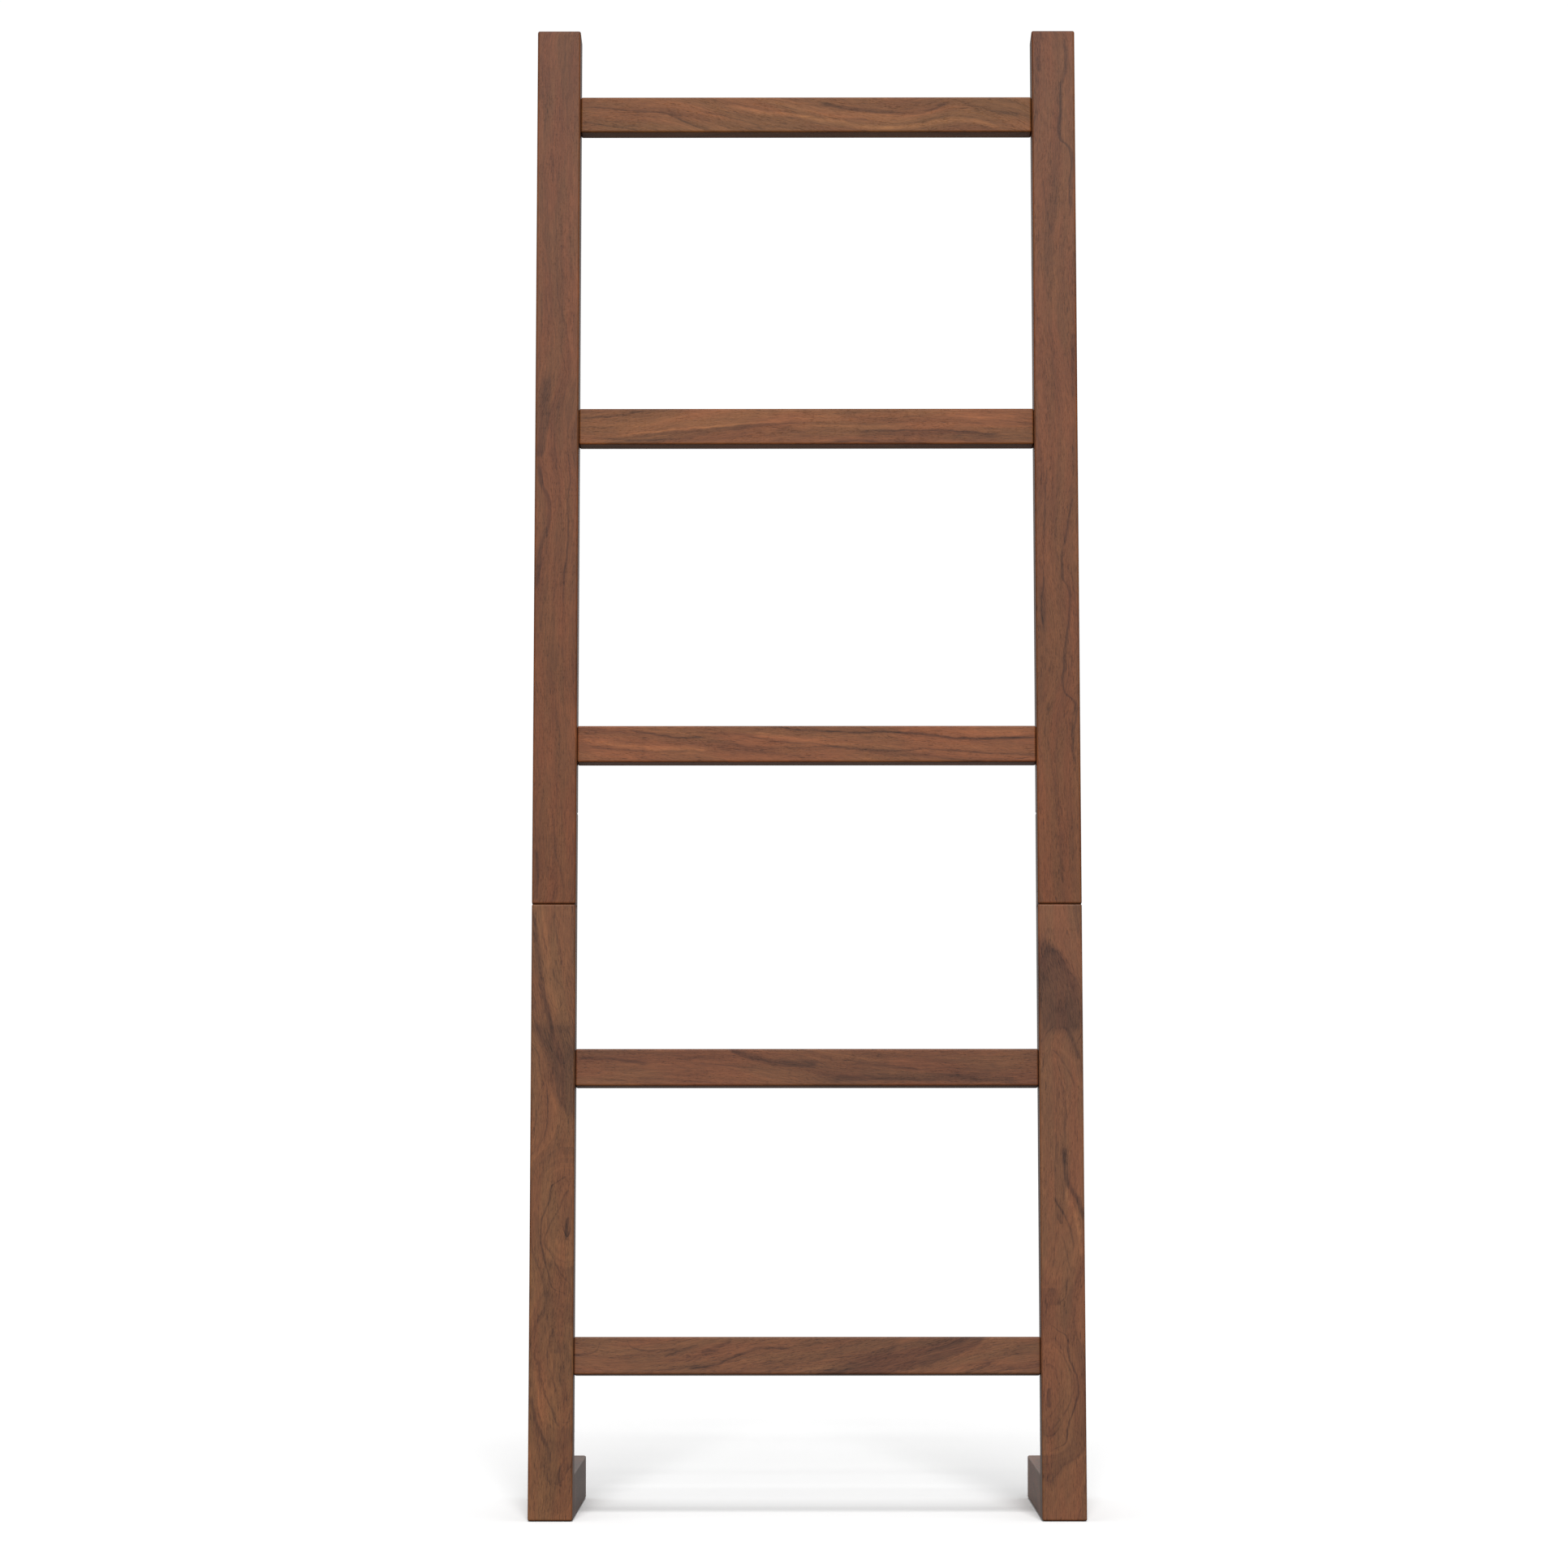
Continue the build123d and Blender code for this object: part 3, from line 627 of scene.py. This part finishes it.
RUNGS = {
    "rung_5": Board(
        heart=[(0.0, -60, 60), (0.1, -63, 60), (0.18, -67, 60), (0.22, -71, 60),
               (0.3, -82, 60), (0.35, -88, 60), (0.5, -103, 60), (0.6, -111, 60),
               (0.68, -114, 60), (0.75, -112, 60), (0.85, -106, 60), (0.9, -108, 60),
               (1.0, -122, 60)],
        bands=[(70, 0.50), (88, 0.52), (95, 0.36), (100, 0.52), (112, 0.48), (122, 0.74),
               (126, 0.78), (127, 0.50), (136, 0.38), (145, 0.52)],
        marks=[
            Mark(-0.14, 2.5, (0.0, 8), (0.05, 6), (0.10, 4), (0.15, 2), (0.18, 2), (0.20, -2),
                 (0.22, -6), (0.25, -12), (0.29, -18)),
            Mark(-0.10, 8, (0.19, 0), (0.22, -6), (0.25, -12), (0.29, -18)),
            Mark(-0.15, 2.5, (0.0, -8), (0.05, -12), (0.10, -15), (0.13, -18)),
            Mark(-0.15, 2, (0.26, 6), (0.27, 3), (0.30, 0), (0.34, -5), (0.37, -9),
                 (0.41, -13), (0.47, -15), (0.50, -15.5)),
            Mark(0.25, -6, (0.30, 15), (0.35, 10), (0.40, 5), (0.45, 2), (0.50, 0),
                 (0.53, -4), (0.57, -5), (0.60, -9), (0.63, -11), (0.68, -12.5),
                 (0.72, -11.5), (0.76, -9), (0.80, -5), (0.83, -3), (0.86, -4), (0.90, -8),
                 (0.94, -15), (0.96, -18)),
            Mark(-0.20, 6, (0.52, 12), (0.58, 6), (0.62, 3), (0.68, 0), (0.73, -1),
                 (0.78, 4), (0.80, 8), (0.83, 12)),
            Mark(-0.15, 5, (0.84, 12), (0.86, 9), (0.92, 2), (0.98, -2)),
        ],
        seed=85.6, figure=0.35, tint=(0.77, 0.65, 0.34)),
    "rung_4": Board(
        heart=[(0.0, -90, 50), (0.1, -86, 50), (0.25, -78, 50), (0.4, -73, 50), (0.55, -72, 50),
               (0.8, -73, 50), (1.0, -76, 50)],
        bands=[(60, 0.44), (72, 0.52), (84, 0.48), (89, 0.70), (91, 0.50), (100, 0.60),
               (112, 0.52), (125, 0.46)],
        marks=[
            Mark(0.20, 3, (0.06, -13), (0.08, -12), (0.12, -9), (0.16, -7), (0.20, -5),
                 (0.25, -3), (0.30, -1), (0.35, 1), (0.40, 3), (0.47, 5)),
            Mark(0.10, 25, (0.06, -13), (0.12, -9), (0.20, -5), (0.30, -1), (0.40, 3),
                 (0.50, 4), (0.60, 3)),
            Mark(-0.12, -16, (0.04, -12), (0.12, -9), (0.20, -5), (0.30, -1), (0.40, 3),
                 (0.50, 4)),
            Mark(-0.20, 3, (0.0, 8), (0.05, 9), (0.10, 12), (0.15, 16)),
            Mark(-0.15, 3, (0.02, -13), (0.10, -15), (0.20, -16)),
            Mark(-0.15, -2.5, (0.60, -5), (0.65, -4), (0.75, -3.5), (0.82, -4), (0.90, -7),
                 (0.94, -9)),
            Mark(-0.12, -10, (0.60, -5), (0.65, -4), (0.75, -3.5), (0.82, -4), (0.90, -7),
                 (0.94, -9)),
            Mark(-0.15, 5, (0.55, -18), (0.60, -17), (0.72, -18), (0.78, -18)),
            Mark(0.12, 8, (0.80, 10), (0.84, 9), (0.97, 7)),
        ],
        seed=74.1, figure=0.4, tint=(0.8, 0.65, 0.39)),
    "rung_3": Board(
        heart=[(0.0, -70, 50), (0.2, -76, 50), (0.45, -86, 50), (0.6, -88, 50), (0.75, -95, 50),
               (1.0, -101, 50)],
        bands=[(60, 0.46), (80, 0.56), (90, 0.60), (97, 0.34), (101, 0.58), (112, 0.50),
               (118, 0.36), (124, 0.60), (135, 0.5)],
        marks=[
            Mark(0.15, 6, (0.0, 3), (0.02, 2), (0.05, 0), (0.10, -4), (0.15, -6), (0.20, -6),
                 (0.30, -8)),
            Mark(-0.25, 2.5, (0.11, 14), (0.13, 12), (0.18, 8), (0.22, 6), (0.28, 6)),
            Mark(-0.12, 2.5, (0.02, -3), (0.05, -5), (0.10, -7), (0.16, -9), (0.25, -8)),
            Mark(-0.15, 2.5, (0.25, 12), (0.28, 11), (0.35, 9), (0.42, 3), (0.50, -1)),
            Mark(0.15, -6, (0.38, 13), (0.40, 12), (0.50, 5), (0.58, 2), (0.62, 0)),
            Mark(-0.28, 3, (0.40, 18), (0.42, 17), (0.50, 13), (0.55, 12), (0.60, 11),
                 (0.68, 11), (0.72, 10), (0.77, 8), (0.82, 5), (0.87, 4), (0.93, 5),
                 (1.02, 6)),
            Mark(0.12, 9, (0.70, 14), (0.77, 11), (0.82, 8), (0.90, 7), (0.98, 9)),
            Mark(-0.20, 3, (0.48, 1), (0.50, 0), (0.57, -4), (0.62, -7), (0.70, -8),
                 (0.75, -6), (0.80, -7), (0.88, -10), (1.02, -13)),
            Mark(-0.12, 2.5, (0.36, -7), (0.38, -8), (0.45, -12), (0.50, -15)),
        ],
        seed=63.8, figure=0.4, tint=(0.83, 0.67, 0.46)),
    "rung_2": Board(
        heart=[(0.0, -78, 50), (0.3, -82, 50), (0.45, -90, 50), (0.6, -100, 50),
               (0.75, -104, 50), (1.0, -106, 50)],
        bands=[(60, 0.50), (92, 0.52), (100, 0.46), (108, 0.32), (116, 0.36), (122, 0.50),
               (140, 0.46)],
        marks=[
            Mark(-0.16, 5, (0.0, 8), (0.05, 8), (0.10, 6), (0.14, 3), (0.16, 1)),
            Mark(-0.20, 10, (0.32, 19), (0.33, 17), (0.36, 10), (0.40, 5), (0.44, 1),
                 (0.50, 0), (0.53, -1)),
            Mark(-0.16, 10, (0.525, 0), (0.53, -3), (0.54, -12), (0.57, -14), (0.65, -13),
                 (0.75, -14), (0.85, -14), (0.97, -18)),
            Mark(-0.10, 4, (0.60, 4), (0.62, 3), (0.68, 0), (0.73, -3), (0.75, -4)),
            Mark(-0.10, 4, (0.75, -6), (0.77, -7), (0.85, -11), (0.88, -13)),
        ],
        seed=52.3, figure=0.5, tint=(0.69, 0.59, 0.47)),
    "rung_1": Board(
        heart=[(0.0, -60, 34), (0.1, -62, 34), (0.3, -50, 34), (0.45, -38, 34),
               (0.6, -28, 34), (0.75, -10, 34), (0.9, 8, 34), (1.0, 14, 34)],
        bands=[(30, 0.50), (42, 0.48), (47, 0.34), (52, 0.52), (60, 0.46), (66, 0.56),
               (76, 0.48), (90, 0.5)],
        marks=[
            Mark(-0.18, 2.5, (-0.01, 0), (0.0, 0), (0.03, 1), (0.05, 5), (0.055, 11),
                 (0.06, 17)),
            Mark(-0.18, 2.5, (0.11, 16), (0.115, 14), (0.12, 9), (0.13, 6), (0.16, 4),
                 (0.20, 5), (0.22, 5)),
            Mark(-0.12, 2.5, (0.07, -4), (0.08, -3), (0.12, -1), (0.15, 1), (0.17, 2)),
            Mark(-0.15, 2.5, (0.19, -3), (0.20, -1), (0.23, 5), (0.26, 9), (0.27, 11)),
            Mark(-0.15, 8, (0.27, 0), (0.28, 1), (0.30, 3), (0.32, 8), (0.34, 14)),
            Mark(-0.26, 3.5, (0.24, -15), (0.25, -14), (0.30, -11), (0.33, -5), (0.37, 2),
                 (0.40, 6), (0.45, 6), (0.47, 5)),
            Mark(-0.13, 16, (0.50, -30), (0.57, -18), (0.62, -9), (0.66, -2), (0.69, 5),
                 (0.70, 15)),
            Mark(-0.22, 32, (0.50, -48), (0.60, -32), (0.68, -18), (0.72, -13), (0.78, -6),
                 (0.82, 1), (0.86, 9), (0.88, 17), (0.93, 34)),
        ],
        seed=41.0, figure=0.4, lines=0.4, tint=(0.73, 0.68, 0.58)),
}

# The right foot's much lighter tint is painted light and sheen, and the left foot's darker, greyer
# tint is painted shade.
FEET = {
    "foot_left": Board(
        heart=[(0.0, 60, 40), (0.5, 66, 44), (1.0, 58, 40)],
        bands=[(50, 0.5), (70, 0.42), (80, 0.54), (95, 0.44), (110, 0.5)],
        seed=91.5, tint=(0.75, 0.77, 0.77), **FOOT_FINISH),
    "foot_right": Board(
        heart=[(0.0, -60, 40), (0.5, -68, 44), (1.0, -62, 40)],
        bands=[(50, 0.5), (70, 0.44), (80, 0.52), (95, 0.42), (110, 0.5)],
        seed=97.2, tint=(1.35, 1.32, 1.26), **FOOT_FINISH),
}


# How thick the stiles and the feet are, and how thick the rungs are, in mm.
SQUARE_STOCK = 44.5
RUNG_STOCK = 23.5


def dress_boards():
    """Every wooden board, with its grain along its own length."""
    for node, board in STILES.items():
        walnut(node, board, UP_THE_STILE, RIGHT, INTO_THE_STILE, SQUARE_STOCK)
    for node, board in RUNGS.items():
        walnut(node, board, RIGHT, UP_THE_STILE, INTO_THE_STILE, RUNG_STOCK)
    for node, board in FEET.items():
        walnut(node, board, BACKWARD, RIGHT, DOWN, SQUARE_STOCK)


# ---------------------------------------------------------------- fittings

# Features to a metre in X, Y and Z: a metal's mottle and the fine lines that tools leave in it,
# beech's short flecks, and rubber's grain.
METAL_MOTTLE = (900.0, 900.0, 900.0)
TOOL_LINES = (7000.0, 900.0, 900.0)
BEECH_FLECKS = (300.0, 1500.0, 1500.0)
RUBBER_GRAIN = (1800.0, 1800.0, 1800.0)

# Most of a speckle's values are between these.
SPECKLE_LOW, SPECKLE_HIGH = 0.3, 0.7

METAL_ROUGHNESS_RANGE = 0.15
METAL_RELIEF = 0.00005
METAL_RELIEF_STRENGTH = 0.2
BEECH_ROUGHNESS = 0.6
BEECH_TONES = [(0.35, linear(178, 134, 92)), (0.65, linear(205, 164, 120))]
RUBBER_ROUGHNESS = (0.65, 0.85)
RUBBER_TONES = [(SPECKLE_LOW, linear(24, 24, 25)), (SPECKLE_HIGH, linear(44, 43, 42))]
RUBBER_RELIEF = 0.0002
RUBBER_RELIEF_STRENGTH = 0.4


def speckle(graph, density, detail):
    """Noise with so many features to a metre in X, Y and Z."""
    place = graph.add("ShaderNodeTexCoord").outputs["Object"]
    return graph.noise(graph.vector("MULTIPLY", place, density), detail=detail)


def metal(name, colour, roughness, mottling):
    """Metal with fine tool lines and a mottled finish."""
    material, graph, shader = new_material(name)
    mottle = speckle(graph, METAL_MOTTLE, detail=3.0)
    lines = speckle(graph, TOOL_LINES, detail=2.0)
    darker = tuple(channel * (1 - mottling) for channel in colour[:3]) + (1.0,)
    graph.feed(shader.inputs["Base Color"], graph.mix(mottle, darker, colour))
    graph.feed(shader.inputs["Roughness"], graph.remap(
        mottle, SPECKLE_LOW, SPECKLE_HIGH, roughness, roughness + METAL_ROUGHNESS_RANGE))
    graph.bump(shader, lines, METAL_RELIEF_STRENGTH, METAL_RELIEF)
    shader.inputs["Metallic"].default_value = 1.0
    return material


def beech():
    """Pale plain wood for the dowels, with short flecks."""
    material, graph, shader = new_material("beech")
    fleck = speckle(graph, BEECH_FLECKS, detail=2.0)
    graph.feed(shader.inputs["Base Color"], graph.ramp(fleck, BEECH_TONES))
    shader.inputs["Roughness"].default_value = BEECH_ROUGHNESS
    return material


def rubber():
    """Matt black rubber with a faint grain."""
    material, graph, shader = new_material("rubber")
    grain = speckle(graph, RUBBER_GRAIN, detail=3.0)
    graph.feed(shader.inputs["Base Color"], graph.ramp(grain, RUBBER_TONES))
    graph.feed(shader.inputs["Roughness"], graph.remap(
        grain, SPECKLE_LOW, SPECKLE_HIGH, *RUBBER_ROUGHNESS))
    graph.bump(shader, grain, RUBBER_RELIEF_STRENGTH, RUBBER_RELIEF)
    return material


def dress_fittings():
    """The bolts, inserts, cams, dowels and pads, by the word that is in each node's name."""
    finishes = {
        "lap_bolts": metal("black_steel", linear(62, 60, 60), roughness=0.38, mottling=0.35),
        "lap_inserts": metal("brass", linear(201, 164, 96), roughness=0.30, mottling=0.2),
        "cam": metal("zinc", linear(190, 191, 194), roughness=0.32, mottling=0.2),
        "dowels": beech(),
        "pad": rubber(),
    }
    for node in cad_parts:
        for word, material in finishes.items():
            if word in node:
                dress(node, material)


# ---------------------------------------------------------------- floor, light and camera

WHITE = (1.0, 1.0, 1.0, 1.0)
FLOOR_RADIUS = 40.0
FLOOR_CORNERS = 96
FLOOR_ROUGHNESS = 0.9

# The floor's paleness and the surround's brightness, where the camera sees them and in the light
# that they send to the ladder and the floor.
FLOOR_SEEN, FLOOR_BOUNCED = 1.0, 0.25
ROOM_SEEN, ROOM_SENT = 1.02, 0.44

# The key light: how far back each of its parts shines for every metre down, how far to the right
# they all do, and each part's width in the sky in degrees and its strength.
KEY_SLOPES = (0.87, 1.11, 1.46, 1.96)
KEY_RIGHTWARD = -0.02
KEY_WIDTH = 12.0
KEY_STRENGTH = 0.81

# The camera's lens, sensor, range and place, and how far in degrees it points up and to the right
# and its right side is raised.
LENS_MM = 132.76
SENSOR_MM = 36.0
CAMERA_RANGE = 200.0
CAMERA_PLACE = (-0.0082, -5.9565, 0.3877)
CAMERA_PITCH = 3.428
CAMERA_YAW = -0.145
CAMERA_ROLL = -0.026


def for_camera(graph, seen, elsewhere):
    """One number where the camera looks directly, and another in light that bounces."""
    direct = graph.add("ShaderNodeLightPath").outputs["Is Camera Ray"]
    return graph.remap(direct, 0.0, 1.0, elsewhere, seen)


def lay_floor():
    """A wide pale floor, which lights the undersides of the ladder only weakly."""
    turns = [2 * math.pi * corner / FLOOR_CORNERS for corner in range(FLOOR_CORNERS)]
    corners = [(FLOOR_RADIUS * math.cos(turn), FLOOR_RADIUS * math.sin(turn), 0.0)
               for turn in turns]
    mesh = bpy.data.meshes.new("floor")
    mesh.from_pydata(corners, [], [list(range(FLOOR_CORNERS))])
    floor = bpy.data.objects.new("floor", mesh)
    bpy.context.scene.collection.objects.link(floor)
    material, graph, shader = new_material("floor")
    paleness = for_camera(graph, FLOOR_SEEN, FLOOR_BOUNCED)
    graph.feed(shader.inputs["Base Color"], graph.combine(paleness, paleness, paleness))
    shader.inputs["Roughness"].default_value = FLOOR_ROUGHNESS
    shader.inputs["Specular IOR Level"].default_value = 0.0
    mesh.materials.append(material)


def light_the_room():
    """An even white surround."""
    world = bpy.data.worlds.new("studio")
    world.use_nodes = True
    bpy.context.scene.world = world
    graph = Graph(world.node_tree)
    background = world.node_tree.nodes["Background"]
    background.inputs["Color"].default_value = WHITE
    graph.feed(background.inputs["Strength"], for_camera(graph, ROOM_SEEN, ROOM_SENT))


def hang_key_light():
    """One tall, soft light, far off in front of the ladder. Its parts are one above another, and
    each is a sun, so it is as bright all over the floor."""
    for slope in KEY_SLOPES:
        light = bpy.data.lights.new("key", "SUN")
        light.angle = math.radians(KEY_WIDTH)
        light.energy = KEY_STRENGTH
        key = bpy.data.objects.new("key", light)
        bpy.context.scene.collection.objects.link(key)
        towards = Vector((KEY_RIGHTWARD, slope, -1.0))
        key.rotation_euler = towards.to_track_quat("-Z", "Y").to_euler()


def place_camera():
    """Low in front of the ladder, tilted up a little, with a long lens."""
    camera = bpy.data.cameras.new("camera")
    camera.sensor_width = SENSOR_MM
    camera.lens = LENS_MM
    camera.clip_end = CAMERA_RANGE
    pitch, yaw, roll = (math.radians(angle) for angle in (CAMERA_PITCH, CAMERA_YAW, CAMERA_ROLL))
    look = Vector((math.sin(yaw) * math.cos(pitch), math.cos(yaw) * math.cos(pitch),
                   math.sin(pitch)))
    right = Vector((math.cos(yaw), -math.sin(yaw), 0.0))
    up = right.cross(look)
    tilted_right = right * math.cos(roll) + up * math.sin(roll)
    tilted_up = up * math.cos(roll) - right * math.sin(roll)
    turn = Matrix((tilted_right, tilted_up, -look)).transposed()
    eye = bpy.data.objects.new("camera", camera)
    eye.matrix_world = Matrix.Translation(CAMERA_PLACE) @ turn.to_4x4()
    bpy.context.scene.collection.objects.link(eye)
    bpy.context.scene.camera = eye


bpy.context.scene.view_settings.view_transform = "Standard"
place_camera()
lay_floor()
light_the_room()
hang_key_light()
dress_boards()
dress_fittings()
